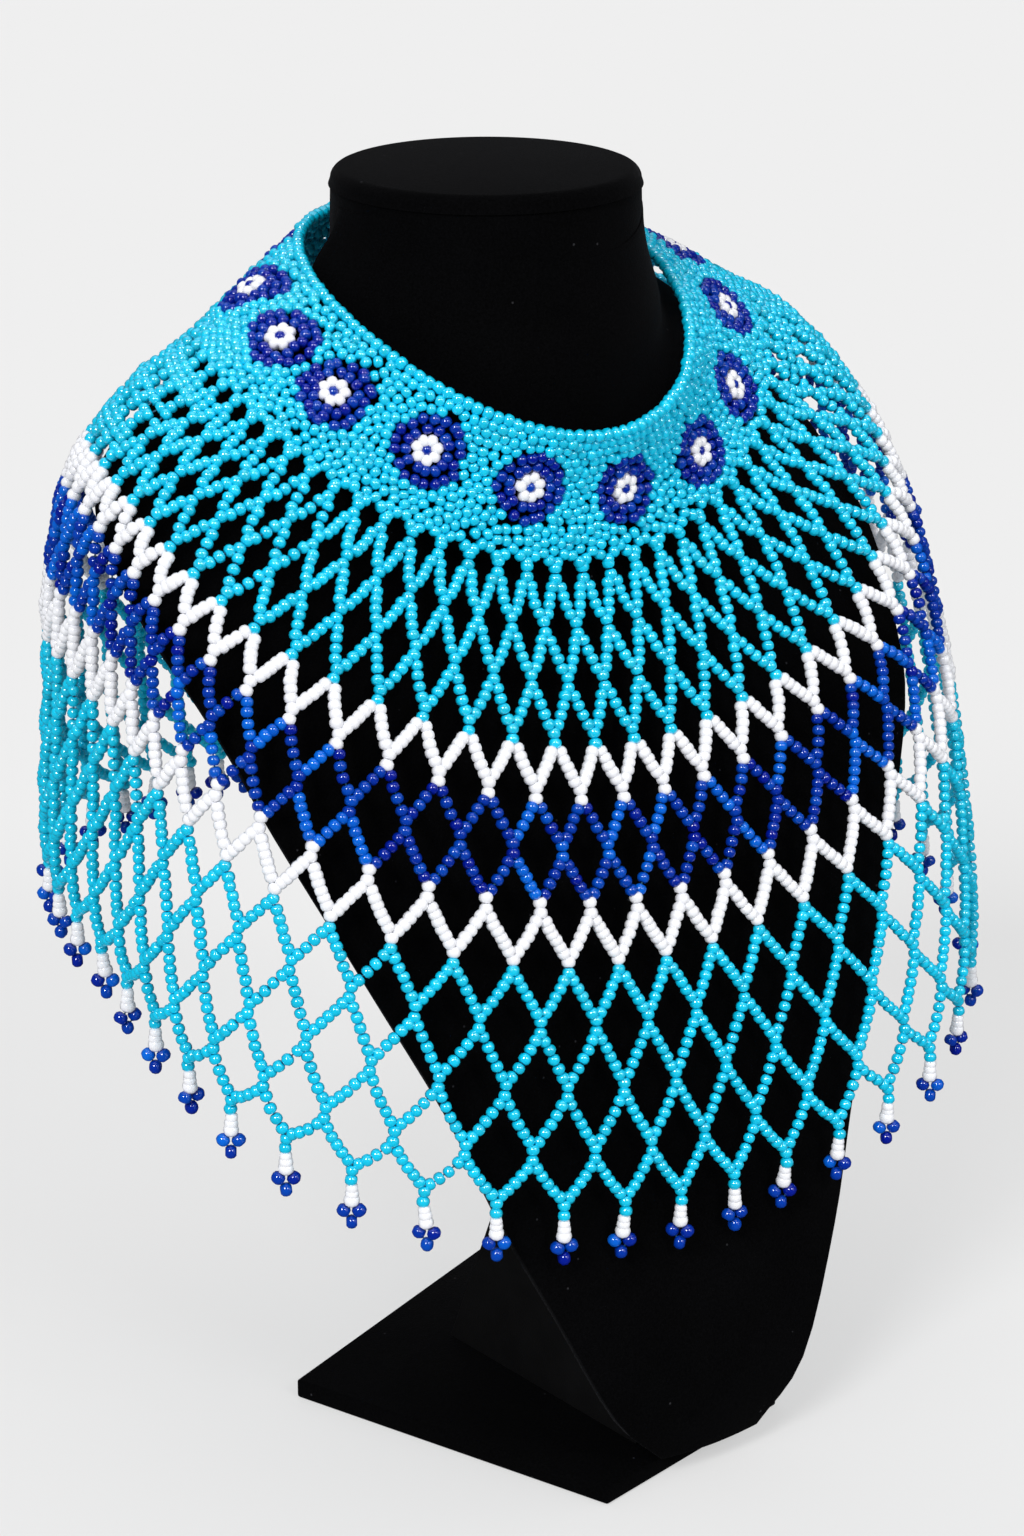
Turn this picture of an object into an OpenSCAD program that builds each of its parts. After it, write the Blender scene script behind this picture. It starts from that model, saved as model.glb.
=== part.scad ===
// Beaded collar necklace on a plain neck bust
// Millimetres, +Z up, front towards -Y, z = 0 under the board.

/* [Collar and net] */
// Thickness of the woven beadwork, one bead
bead_thick = 3.4; // [3:0.1:4]
// Width of a strand in the coarse net
strand = 4.4; // [3.6:0.1:5]
// Coarse net meshes around the loop
meshes = 27; // [20:1:28]
// Gap left between neighbouring pieces
gap = 0.4; // [0.3:0.05:0.6]
// Opening of the collar band at the back of the neck
opening = 8; // [6:0.5:12]

/* [Drops] */
// Drops hanging from the lower edge
drops = 56; // [40:1:60]
// Length of a drop below its knot
drop_len = 13.3; // [12:0.1:15]
// Radius of the bead cluster at a drop's end
cluster_r = 3.2; // [2.8:0.1:3.4]

/* [Bust] */
// Radius of the neck under the cap
neck_r = 44.7; // [43:0.1:45]
// Wall of the neck and chest shells
wall = 3.5; // [3:0.1:3.6]
// Height of the top of the cap
top_z = 369.5; // [368:0.5:372]
// Thickness of the cap
cap_t = 5; // [4:0.5:6]
// Distance of the neck axis behind the middle of the board
neck_y = 42; // [40:1:44]

/* [Base] */
// Thickness of the board
board_t = 6; // [5:0.5:6]
// Corner radius of the board
corner_r = 2.5; // [2:0.5:6]
// Thickness of the brace plates
plate_t = 3; // [2.5:0.5:4]

/* [Hidden] */

// Loops of the beadwork from the neck down: row number, half width, front depth, back
// depth, height at the front, sides and back, sideways shift, and fullness in percent
loops = [
    //row   half  front  back  z_front  z_side  z_back  shift  full
    [-2.6,   57,    60,    51,    303,    338,    352,    0,    0],
    [-1.4,   76,    55,    51,    285,    330,    340,    0,    0],
    [ 0.0,   95,    58,    55,    263,    319,    321,    1,    2],
    [ 2.0,  117,    70,    63,    234,    305,    302,    2,    5],
    [ 4.0,  133,    81,    71,    204,    282,    279,    3,    9],
    [ 6.0,  138,    89,    76,    173,    249,    254,    4,   12],
    [ 8.0,  141,    97,    79,    140,    212,    224,    5,   12],
    [10.0,  143,   104,    82,    104,    173,    190,    5,   12],
    [12.0,  139,   110,    88,     72,    143,    164,    5,   12]];

// How the meshes spread round a loop, in degrees of the turn: row number,
// crowding to the front, crowding to front and back, and twist of the loop
spreads = [
    //row   front  both  twist
    [-1.4,    -7,    1,     0],
    [ 0.0,   -13,    3,     0],
    [ 6.0,     6,   -2,     0],
    [12.0,    28,   -6,    -2]];

// Rows of knots in each part of the net and in the collar
collar_rows = [-2.6, -2.0, -1.4, -0.7, -0.02];
upper_rows = [0, 1.5, 3];
middle_rows = [3, 5, 7];
lower_rows = [7, 8.5, 10];
fringe_rows = [10, 11];
collar_steps = 64;

// Width of the strands and height of the knots in the fringe
hem_strand = 3;
hem_knot = 2;

// Outline of a drop, each a fraction of its length and of the cluster's radius
drop_shape = [
    //down  radius
    [0.30,  0.52],
    [0.54,  0.52],
    [0.68,  1.00],
    [0.86,  1.00],
    [1.00,  0.36]];
drop_sides = 6;

// Cross-sections of the chest from the neck to the toe: number, half width,
// depth and height of the edge, depth and height of the middle, half turn
sections = [
    //no  half  edge_y  edge_z  mid_y  mid_z  turn
    [ 0,  45.0,  12.1,   350,  -46.6,  326,   105],
    [ 1,  56,    16,     336,  -48,    308,   100],
    [ 2,  88,    24,     317,  -50,    278,    95],
    [ 3, 117,    25,     294,  -57,    250,    90],
    [ 4, 127,     2,     272,  -64,    224,    85],
    [ 5, 125,   -28,     248,  -71,    204,    80],
    [ 6, 118,   -50,     222,  -76,    185,    72],
    [ 7, 112,   -62,     201,  -81,    168,    65],
    [ 8,  95,   -76,     162,  -90,    140,    60],
    [ 9,  78,   -88,     125,  -96,    113,    52],
    [10,  65,   -96,      91, -101,     84,    45],
    [11,  52,  -105,      61, -108,     56,    40],
    [12,  35,  -112,      25, -113,     23,    36],
    [13,  18,  -111,       7, -112,    6.5,    20]];
section_steps = 2;
turn_steps = 20;
fullness = 0.8;

// Side view of the brace, behind the chest: depth and height from its foot round,
// then its half width at the front depth and at the back of its foot
brace_side = [[-98, 6.4], [-9, 6.4], [-76.8, 166], [-84.2, 144],
              [-91, 115], [-96, 86], [-103, 57], [-106.4, 40]];
brace_front = 17;
brace_reach = -110;
brace_back = 21;

// Corners of the board seen from above, from the front left corner round
board_corners = [[-39.5, -113], [39, -95], [26, 37], [-75.5, -4.5]];
corner_steps = 6;

neck_split = 14.5;
neck_low = 280;
neck_taper = 1.7;
cap_gap = 0.3;
cap_edge = 2;
clasp_r = 2.6;
clasp_z = 349;
clasp_len = 10.8;
far = 200;

// Number of the table row that begins the stretch holding value r
function stretch(tab, r, i = 0) =
    (i >= len(tab) - 2 || r < tab[i + 1][0]) ? i : stretch(tab, r, i + 1);
// Slope of column k at table row i
function slope(tab, k, i) =
    let(a = max(i - 1, 0), b = min(i + 1, len(tab) - 1))
    (tab[b][k] - tab[a][k]) / (tab[b][0] - tab[a][0]);
// Smooth value of column k at r
function smooth(tab, k, r) =
    let(i = stretch(tab, r),
        h = tab[i + 1][0] - tab[i][0],
        s = (r - tab[i][0]) / h,
        s2 = s * s,
        s3 = s2 * s)
    tab[i][k] * (2 * s3 - 3 * s2 + 1) + h * slope(tab, k, i) * (s3 - 2 * s2 + s)
    + tab[i + 1][k] * (3 * s2 - 2 * s3) + h * slope(tab, k, i + 1) * (s3 - s2);

// Point of the beadwork at row r and angle u round the loop, 0 at the front
function drape(r, u) =
    let(half = smooth(loops, 1, r),
        front = smooth(loops, 2, r),
        back = smooth(loops, 3, r),
        zf = smooth(loops, 4, r),
        zs = smooth(loops, 5, r),
        zb = smooth(loops, 6, r),
        shift = smooth(loops, 7, r),
        full = smooth(loops, 8, r),
        t = u + smooth(spreads, 1, r) * sin(u) + smooth(spreads, 2, r) * sin(2 * u)
            + smooth(spreads, 3, r),
        swell = 1 + full / 100 * (1 - cos(4 * t)) / 2,
        ends = (zf + zb) / 2)
    [half * swell * sin(t) + shift,
     (back - front) / 2 - (front + back) / 2 * swell * cos(t),
     (ends + zs) / 2 + (zf - zb) / 2 * cos(t) + (ends - zs) / 2 * cos(2 * t)];

function unit(v) = v / norm(v);
function side_way(r, u) = unit(drape(r, u + 0.5) - drape(r, u - 0.5));
function down_way(r, u) = unit(drape(r + 0.05, u) - drape(r - 0.05, u));
function out_way(r, u) = unit(cross(down_way(r, u), side_way(r, u)));

// Two triangles for a four-sided face
function quad(a, b, c, d) = [[a, b, c], [a, c, d]];
function join(lists) = [for (l = lists) for (e = l) e];

// Corners of knot k, j: top, right, bottom and left outside, then inside
function knot(rows, k, u, w, tall) =
    let(r = rows[k],
        p = drape(r, u),
        a = side_way(r, u),
        n = out_way(r, u),
        d = cross(a, n),
        first = k == 0,
        last = k == len(rows) - 1,
        cut = d * (first ? gap / 2 : last ? -gap / 2 : 0),
        up = first ? [0, 0, 0] : -d * tall,
        low = last ? [0, 0, 0] : d * tall,
        ring = [p + cut + up, p + cut + a * w / 2, p + cut + low, p + cut - a * w / 2])
    [for (s = [1, -1]) for (q = ring) q + n * s * bead_thick / 2];

// Faces of one strand or knot side: outer face, inner face and its side walls
function plate(q) = concat(quad(q[0], q[1], q[2], q[3]), quad(q[0] + 4, q[3] + 4, q[2] + 4, q[1] + 4));
function side_wall(a, b) = quad(b, a, a + 4, b + 4);

// Net of strands between rows of knots, with count meshes round the loop
function net_points(rows, count, w, tall) =
    join([for (k = [0 : len(rows) - 1]) for (j = [0 : count - 1])
        knot(rows, k, (j + (k % 2) / 2) * 360 / count, w, tall)]);
function net_faces(rows, count, open_hem = true) =
    let(last = len(rows) - 1)
    join([for (k = [0 : last]) for (j = [0 : count - 1])
        let(a = 8 * (k * count + j),
            right = 8 * ((k + 1) * count + (j + k % 2) % count),
            left = 8 * ((k + 1) * count + (j + count - 1 + k % 2) % count))
        concat(
            plate([a, a + 1, a + 2, a + 3]),
            k == 0 ? concat(side_wall(a, a + 1), side_wall(a + 3, a)) : [],
            k == last && open_hem ? concat(side_wall(a + 1, a + 2), side_wall(a + 2, a + 3)) : [],
            k == last ? [] : concat(
                plate([a + 1, right, right + 3, a + 2]),
                side_wall(a + 1, right),
                side_wall(right + 3, a + 2),
                plate([a + 2, left + 1, left, a + 3]),
                side_wall(a + 2, left + 1),
                side_wall(left, a + 3)))]);

module net(rows, count, w) {
    translate([0, neck_y, 0])
        polyhedron(points = net_points(rows, count, w, w), faces = net_faces(rows, count));
}

// Points of drop j below the knot with base number a
function drop_points(j) =
    let(r = fringe_rows[1],
        u = (j + 0.5) * 360 / drops,
        p = drape(r, u),
        a = side_way(r, u),
        n = unit(cross([0, 0, -1], a)),
        b = cross([0, 0, 1], n))
    [for (s = drop_shape) for (m = [0 : drop_sides - 1])
        let(t = 150 - m * 360 / drop_sides)
        p + (b * cos(t) + n * sin(t)) * s[1] * cluster_r - [0, 0, s[0] * drop_len]];
function drop_faces(j) =
    let(a = 8 * (drops + j),
        top = [a + 3, a + 2, a + 1, a + 5, a + 6, a + 7],
        base = 16 * drops + j * len(drop_shape) * drop_sides,
        rings = concat([top], [for (i = [0 : len(drop_shape) - 1])
            [for (m = [0 : drop_sides - 1]) base + i * drop_sides + m]]))
    concat(
        join([for (i = [0 : len(drop_shape) - 1]) for (m = [0 : drop_sides - 1])
            let(e = (m + 1) % drop_sides)
            quad(rings[i][m], rings[i][e], rings[i + 1][e], rings[i + 1][m])]),
        [for (m = [1 : drop_sides - 2])
            [rings[len(drop_shape)][0], rings[len(drop_shape)][m], rings[len(drop_shape)][m + 1]]]);

// Point of the chest at section s and side position v, -1 to 1
function chest(s, v) =
    let(half = smooth(sections, 1, s),
        edge_y = smooth(sections, 2, s),
        edge_z = smooth(sections, 3, s),
        mid_y = smooth(sections, 4, s),
        mid_z = smooth(sections, 5, s),
        turn = smooth(sections, 6, s),
        bend = (1 - cos(v * turn)) / (1 - cos(turn)))
    [half * sin(v * turn) / sin(turn),
     mid_y + (edge_y - mid_y) * bend,
     mid_z + (edge_z - mid_z) * (s < 1 ? bend : pow(bend, fullness))];
function chest_out(s, v) =
    let(top = max(s - 0.05, 0), low = min(s + 0.05, len(sections) - 1),
        left = max(v - 0.02, -1), right = min(v + 0.02, 1))
    unit(cross(chest(low, v) - chest(top, v), chest(s, right) - chest(s, left)));

// Shell between a sheet of points and the same sheet moved in, n rows of m points
function sheet_faces(n, m) =
    let(o = n * m)
    concat(
        join([for (i = [0 : n - 2]) for (j = [0 : m - 2])
            let(a = i * m + j)
            concat(quad(a, a + 1, a + m + 1, a + m), quad(o + a + m, o + a + m + 1, o + a + 1, o + a))]),
        join([for (j = [0 : m - 2])
            let(b = (n - 1) * m + j)
            concat(quad(j + 1, j, o + j, o + j + 1), quad(b, b + 1, o + b + 1, o + b))]),
        join([for (i = [0 : n - 2])
            let(a = i * m, b = i * m + m - 1)
            concat(quad(a, a + m, o + a + m, o + a), quad(b + m, b, o + b, o + b + m))]));

// Board outline with rounded corners
function board_outline() =
    let(n = len(board_corners))
    [for (i = [0 : n - 1])
        let(p = board_corners[i],
            a = unit(board_corners[(i + n - 1) % n] - p),
            b = unit(board_corners[(i + 1) % n] - p),
            half = acos(a * b) / 2,
            c = p + unit(a + b) * corner_r / sin(half),
            from = atan2(-(a + b)[1], -(a + b)[0]))
        for (k = [-corner_steps / 2 : corner_steps / 2])
            let(t = from + k * (180 - 2 * half) / corner_steps)
            c + corner_r * [cos(t), sin(t)]];

module base_board() {
    color([0.02, 0.02, 0.022])
        translate([0, neck_y, 0])
            linear_extrude(height = board_t)
                polygon(board_outline());
}

module brace_block(inset) {
    front = brace_reach;
    back = brace_side[1][0];
    intersection() {
        rotate([90, 0, 90])
            translate([0, 0, -far / 2])
                linear_extrude(height = far)
                    translate([-inset * 1.1, 0])
                        polygon(brace_side);
        linear_extrude(height = far)
            polygon([[-brace_front + inset, front], [brace_front - inset, front],
                     [brace_back - inset, back], [-brace_back + inset, back]]);
    }
}

module brace() {
    color([0.09, 0.09, 0.1])
        translate([0, neck_y, 0])
            difference() {
                brace_block(0);
                for (low = [-plate_t, 0])
                    translate([0, 0, low])
                        brace_block(plate_t);
            }
}

module chest_panel() {
    rows = (len(sections) - 1) * section_steps;
    outer = [for (i = [0 : rows]) for (j = [0 : turn_steps])
        chest(i / section_steps, 2 * j / turn_steps - 1)];
    inner = [for (i = [0 : rows]) for (j = [0 : turn_steps])
        let(s = i / section_steps, v = 2 * j / turn_steps - 1)
        chest(s, v) - wall * chest_out(s, v)];
    color([0.02, 0.02, 0.022])
        translate([0, neck_y, 0])
            polyhedron(points = concat(outer, inner), faces = sheet_faces(rows + 1, turn_steps + 1));
}

module neck() {
    seam_z = top_z - cap_t - cap_gap;
    rise = (sections[0][3] - sections[0][5]) / (sections[0][2] - sections[0][4]);
    plane_z = sections[0][5] + gap + 0.1;
    mid_y = sections[0][4];
    color([0.02, 0.02, 0.022])
        translate([0, neck_y, 0])
            difference() {
                rotate_extrude($fn = 96)
                    polygon([[neck_r + neck_taper - wall, neck_low], [neck_r + neck_taper, neck_low],
                             [neck_r, seam_z], [neck_r - wall, seam_z]]);
                rotate([90, 0, 90])
                    translate([0, 0, -far / 2])
                        linear_extrude(height = far)
                            polygon([[-far, 0], [neck_split, 0],
                                     [neck_split, plane_z + rise * (neck_split - mid_y)],
                                     [-far, plane_z + rise * (-far - mid_y)]]);
            }
}

module neck_cap() {
    color([0.02, 0.02, 0.022])
        translate([0, neck_y, top_z - cap_t])
            rotate_extrude($fn = 96)
                polygon(concat([[0, 0], [neck_r, 0]],
                    [for (k = [0 : 4]) let(t = k * 22.5)
                        [neck_r - cap_edge + cap_edge * cos(t), cap_t - cap_edge + cap_edge * sin(t)]],
                    [[0, cap_t]]));
}

module collar_band() {
    half_open = asin(opening / 2 / loops[0][3]);
    angles = [for (j = [0 : collar_steps]) -180 + half_open + j * (360 - 2 * half_open) / collar_steps];
    sheet = [for (s = [1, -1]) for (r = collar_rows) for (u = angles)
        drape(r, u) + out_way(r, u) * s * bead_thick / 2];
    color([0.08, 0.68, 0.8])
        translate([0, neck_y, 0])
            polyhedron(points = sheet, faces = sheet_faces(len(collar_rows), len(angles)));
}

module upper_net() {
    color([0.08, 0.68, 0.8])
        net(upper_rows, meshes, strand);
}

module middle_net() {
    color([0.03, 0.07, 0.6])
        net(middle_rows, meshes, strand);
}

module lower_net() {
    color([0.08, 0.68, 0.8])
        net(lower_rows, meshes, strand);
}

module drop_fringe() {
    points = concat(net_points(fringe_rows, drops, hem_strand, hem_knot),
        join([for (j = [0 : drops - 1]) drop_points(j)]));
    faces = concat(net_faces(fringe_rows, drops, false),
        join([for (j = [0 : drops - 1]) drop_faces(j)]));
    color([0.03, 0.07, 0.6])
        translate([0, neck_y, 0])
            polyhedron(points = points, faces = faces);
}

module back_clasp() {
    color([0.85, 0.85, 0.88])
        translate([0, neck_y + loops[0][3], clasp_z])
            rotate([0, 90, 0])
                cylinder(r = clasp_r, h = clasp_len, center = true, $fn = 32);
}

base_board();
brace();
chest_panel();
neck();
neck_cap();
collar_band();
upper_net();
middle_net();
lower_net();
drop_fringe();
back_clasp();
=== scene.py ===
import math

import bmesh
import bpy
import numpy as np
from mathutils import Matrix, Vector


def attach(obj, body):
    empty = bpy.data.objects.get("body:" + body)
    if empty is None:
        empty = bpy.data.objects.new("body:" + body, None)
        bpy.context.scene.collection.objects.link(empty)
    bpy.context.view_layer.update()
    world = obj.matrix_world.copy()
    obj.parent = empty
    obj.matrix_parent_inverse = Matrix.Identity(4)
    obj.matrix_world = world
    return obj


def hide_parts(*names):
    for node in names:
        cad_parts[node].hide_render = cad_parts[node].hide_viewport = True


bl_info = {
    "name": "Beaded Collar Necklace",
    "version": (1, 0, 0),
    "blender": (4, 5, 0),
    "location": "3D View > Sidebar > Collar",
    "description": "Builds a netted bead collar on a velvet neck bust",
    "category": "Object",
}

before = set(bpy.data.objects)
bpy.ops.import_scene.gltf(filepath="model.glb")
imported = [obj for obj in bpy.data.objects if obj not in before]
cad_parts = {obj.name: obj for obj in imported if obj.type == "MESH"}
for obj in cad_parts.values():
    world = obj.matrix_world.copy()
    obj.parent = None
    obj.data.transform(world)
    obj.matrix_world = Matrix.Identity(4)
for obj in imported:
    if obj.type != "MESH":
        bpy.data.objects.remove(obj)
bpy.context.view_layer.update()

MM = 0.001
NECK_Y = 42.0

# Loops of the beadwork from the neck down: row, half width, front depth, back depth,
# height at the front, sides and back, sideways shift, and fullness in percent
LOOPS = np.array([
    [-2.6, 57, 60, 51, 303, 338, 352, 0, 0],
    [-1.4, 76, 55, 51, 285, 330, 340, 0, 0],
    [0.0, 95, 58, 55, 263, 319, 321, 1, 2],
    [2.0, 117, 70, 63, 234, 305, 302, 2, 5],
    [4.0, 133, 81, 71, 204, 282, 279, 3, 9],
    [6.0, 138, 89, 76, 173, 249, 254, 4, 12],
    [8.0, 141, 97, 79, 140, 212, 224, 5, 12],
    [10.0, 143, 104, 82, 104, 173, 190, 5, 12],
    [12.0, 139, 110, 88, 72, 143, 164, 5, 12],
])

# Spread of the meshes round a loop: row, crowding to the front, crowding to front
# and back, and twist, in degrees
SPREADS = np.array([
    [-1.4, -7, 1, 0],
    [0.0, -13, 3, 0],
    [6.0, 6, -2, 0],
    [12.0, 28, -6, -2],
])

# Cross-sections of the chest: number, half width, depth and height of the edge,
# depth and height of the middle, half turn
SECTIONS = np.array([
    [0, 45.0, 12.1, 350, -46.6, 326, 105],
    [1, 56, 16, 336, -48, 308, 100],
    [2, 88, 24, 317, -50, 278, 95],
    [3, 117, 25, 294, -57, 250, 90],
    [4, 127, 2, 272, -64, 224, 85],
    [5, 125, -28, 248, -71, 204, 80],
    [6, 118, -50, 222, -76, 185, 72],
    [7, 112, -62, 201, -81, 168, 65],
    [8, 95, -76, 162, -90, 140, 60],
    [9, 78, -88, 125, -96, 113, 52],
    [10, 65, -96, 91, -101, 84, 45],
    [11, 52, -105, 61, -108, 56, 40],
    [12, 35, -112, 25, -113, 23, 36],
    [13, 18, -111, 7, -112, 6.5, 20],
], float)

# Thickness of the chest with its velvet, and the radius of its edges
CHEST_THICK = 3.3
CHEST_EDGE = 1.1

# The neck: outer radius at its low end and under the cap, and their heights
NECK_LOW_RADIUS = 46.4
NECK_TOP_RADIUS = 44.7
NECK_LOW = 280.0
NECK_TOP = 364.2
# How far the velvet flares from the neck into the shoulders, and its gap to the neck
FLARE = 3.0
LAP_GAP = 0.3
# How far the velvet laps up the neck, and how far below the cap it stays
LAP_HEIGHT = 24
LAP_BELOW_CAP = 3

# The cap: gap below it, thickness, height of its seam, and radii of its rim and lower edge
CAP_GAP = 0.3
CAP_THICK = 5.0
CAP_SEAM = 0.7
CAP_RIM = 3.4
CAP_EDGE = 0.5

# Corners of the board seen from above, from the neck axis, its thickness, and the radii
# of its corners and edges
BOARD = ((-39.5, -113), (39, -95), (26, 37), (-75.5, -4.5))
BOARD_THICK = 6.0
BOARD_CORNER = 2.5
BOARD_EDGE = 0.9

# White beads sit closer on the thread and are a little larger
WHITE_STEP = 0.78
WHITE_SIZE = 1.07
KNOT_SIZE = 1.04
# Profile of a bead: how far the ends dip, and how much wider its bands get, by their height
BEAD_DIP = 0.8
BEAD_BANDS = ((0.2, 1.05), (0.4, 1.16))
BAND_HEIGHT = 0.2
# Part of a step that is enough for one more bead on a strand
LAST_BEAD = 0.62

# Bead sizes down the white stem of a drop, how far they overlap, and size in its cluster
STEM = (0.95, 1.02, 1.16)
STEM_STEP = 0.6
CLUSTER = 1.12
# The pair of a cluster: drop below the stem, half spread and lean; and drop of the tip
PAIR_DROP = 0.48
PAIR_SPREAD = 0.53
PAIR_LEAN = 0.7
TIP_DROP = 0.85
# The way in which the flat side of the clusters faces, and its spread, in radians, and
# how far a drop leans
FACING = -0.6
FACING_SPREAD = 0.35
LEAN_SPREAD = 0.05
# First bead of a strand, beside and below its knot, in pitches
BESIDE = 0.52
BESIDE_DOWN = 1.27
# Columns of the net round the loop, and the one at the middle of the front
COLUMNS = 56
FRONT_COLUMN = 2.0
# Row of the neck band's rim, and half its opening at the back in degrees
RIM_ROW = -2.6
HALF_OPENING = 4.4
# Middle of each rosette: column and row
ROSETTES = (
    (-1.1, -1.51), (3.1, -1.35), (7.3, -1.06), (11.0, -1.03), (15.0, -1.15), (19.0, -1.3), (23.0, -1.4),
    (27.0, -1.4), (31.0, -1.4), (35.0, -1.4), (39.0, -1.5), (43.2, -1.56), (46.6, -1.51), (50.7, -1.55),
)
# Rings of a rosette from its middle: beads, radius in pitches, colour and looseness
ROSETTE_RINGS = (
    (1, 0.0, "cobalt", 0.0), (7, 0.94, "white", 0.02),
    (13, 1.98, "cobalt", 0.1), (19, 3.02, "cobalt", 0.15),
)
# Beads nearer than this to a rosette's middle, in pitches, are part of it
ROSETTE_REACH = 3.15
# Rows of the band's loose beads, how far in rows they stay from the hem, and the share
# of them that is left out
FIELD_ROWS = np.arange(-2.42, -0.3, 0.162)
HEM_GAP = 0.12
LEFT_OUT = 0.03
# Spread of the loose beads at the start, in rows and in degrees, and how far the band's
# beads lie above or below its surface, in millimetres
ROW_SPREAD = 0.05
ANGLE_SPREAD = 0.6
LIFT_SPREAD = 0.35
# Sizes of the band's beads by their place, and in its rosettes
BAND_SIZES = {"edge": 1.06, "hem": 1.0, "field": 0.95}
ROSETTE_SIZE = 0.97
# Distances in the band, in pitches: from loose beads to set ones, between beads as they
# spread, where another bead has room, and where one of two beads goes
CLEAR = 0.72
SPREAD = 1.03
ROOM_FOR_ONE = 0.88
TOO_NEAR = 0.66
SPREAD_PASSES = 18

# Spread among the beads: tilt, size, place in millimetres, and tone
TILT_SPREAD = 0.05
SIZE_SPREAD = 0.018
PLACE_SPREAD = 0.07
TONE_SPREAD = 0.12
# Share of strings from the paler batch of blue beads, and the tones of both batches
PALE_SHARE = 0.22
PALE_TONE = 0.85
DEEP_TONES = (0.1, 0.3)

# Colour of the strands below a row of knots, and of the beads above and below in its
# knots, where these aren't turquoise
STRANDS = {3: "white", 4: "cobalt", 5: "cobalt", 6: "white"}
KNOTS = {4: ("white", "white"), 5: ("cobalt", "cobalt"), 6: ("white", "white"), 7: ("white", "turquoise")}
# Finishes of the beadwork, in the order of a mesh's slots
FINISHES = {"turquoise": "Turquoise glass beads", "cobalt": "Cobalt glass beads",
            "white": "White glass beads", "thread": "Nylon thread"}
SLOTS = {name: slot for slot, name in enumerate(FINISHES)}

# Colour of the specks of lint on the velvet
LINT_COLOUR = (0.025, 0.025, 0.028, 1)

# Soft lamps: name, direction that the light comes from, width in degrees, strength
LAMPS = (
    ("key", (-1.5, -0.75, 1.35), 20, 1.85),
    ("second", (0.1, -1.6, 1.3), 14, 0.75),
    ("fill", (0.9, -1.5, 0.7), 40, 0.25),
    ("top", (0.2, 0.3, 2.0), 60, 0.45),
    ("back", (0.6, 1.8, 1.2), 60, 0.15),
)
# What glossy rays see of the floor and the room: dark, so that glass shows the lamps alone
DARK_FLOOR = (0.02, 0.02, 0.02, 1)
DARK_ROOM = 0.02
ROOM = 0.5

# The camera: turn round the neck, heading and pitch in degrees, then distance from the
# neck axis and height in metres, and focal length in millimetres
CAMERA_TURN = -36
CAMERA_HEADING = -36.36
CAMERA_PITCH = 19.6
CAMERA_DISTANCE = 1.19
CAMERA_HEIGHT = 0.61
CAMERA_LENS = 98.4375


# ---------------------------------------------------------------- shape of the drape

def smooth(table, column, at):
    """Smooth value of a table column at the row numbers given."""
    rows = table[:, 0]
    values = table[:, column]
    last = len(rows) - 1
    slopes = np.array([(values[min(i + 1, last)] - values[max(i - 1, 0)])
                       / (rows[min(i + 1, last)] - rows[max(i - 1, 0)]) for i in range(last + 1)])
    at = np.asarray(at, float)
    i = np.clip(np.searchsorted(rows, at, side="right") - 1, 0, last - 1)
    h = rows[i + 1] - rows[i]
    s = (at - rows[i]) / h
    return (values[i] * (2 * s ** 3 - 3 * s ** 2 + 1) + h * slopes[i] * (s ** 3 - 2 * s ** 2 + s)
            + values[i + 1] * (3 * s ** 2 - 2 * s ** 3) + h * slopes[i + 1] * (s ** 3 - s ** 2))


def drape(row, angle):
    """Points of the beadwork, in millimetres from the neck axis, at rows and angles in degrees."""
    row, angle = np.broadcast_arrays(np.asarray(row, float), np.asarray(angle, float))
    half, front, back, zf, zs, zb, shift, full = (smooth(LOOPS, k, row) for k in range(1, 9))
    u = np.radians(angle)
    t = np.radians(angle + smooth(SPREADS, 1, row) * np.sin(u)
                   + smooth(SPREADS, 2, row) * np.sin(2 * u) + smooth(SPREADS, 3, row))
    swell = 1 + full / 100 * (1 - np.cos(4 * t)) / 2
    ends = (zf + zb) / 2
    return np.stack([
        half * np.sin(t) * swell + shift,
        (back - front) / 2 - (front + back) / 2 * np.cos(t) * swell,
        (ends + zs) / 2 + (zf - zb) / 2 * np.cos(t) + (ends - zs) / 2 * np.cos(2 * t)], -1)


def unit(v):
    return v / np.linalg.norm(v, axis=-1, keepdims=True)


def across_ways(ways):
    """Two directions at right angles to each of the given ones."""
    helper = np.where(np.abs(ways[:, 2:3]) < 0.9, [[0.0, 0.0, 1.0]], [[1.0, 0.0, 0.0]])
    side = unit(np.cross(helper, ways))
    return side, np.cross(ways, side)


def side_way(row, angle):
    """Direction along a row of the drape."""
    return unit(drape(row, angle + 0.5) - drape(row, angle - 0.5))


def down_way(row, angle):
    """Direction down the drape."""
    return unit(drape(row + 0.05, angle) - drape(row - 0.05, angle))


def out_way(row, angle):
    """Direction out of the drape's surface."""
    return unit(np.cross(down_way(row, angle), side_way(row, angle)))


def drape_slopes(row, angle, points):
    """Steps of the surface in millimetres for one row and for one degree, at its points."""
    return (drape(row + 0.02, angle) - points) / 0.02, (drape(row, angle + 0.2) - points) / 0.2


def column_angle(column):
    return (np.asarray(column, float) - FRONT_COLUMN) * 360.0 / COLUMNS


def chest(section, across):
    """Points of the chest's front, at section numbers and side positions from -1 to 1."""
    half, edge_y, edge_z, mid_y, mid_z, turn = (smooth(SECTIONS, k, section) for k in range(1, 7))
    turn = np.radians(turn)
    bend = (1 - np.cos(across * turn)) / (1 - np.cos(turn))
    lift = np.where(section < 1, bend, bend ** 0.8)
    return np.stack([half * np.sin(across * turn) / np.sin(turn),
                     mid_y + (edge_y - mid_y) * bend,
                     mid_z + (edge_z - mid_z) * lift], -1)


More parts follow.
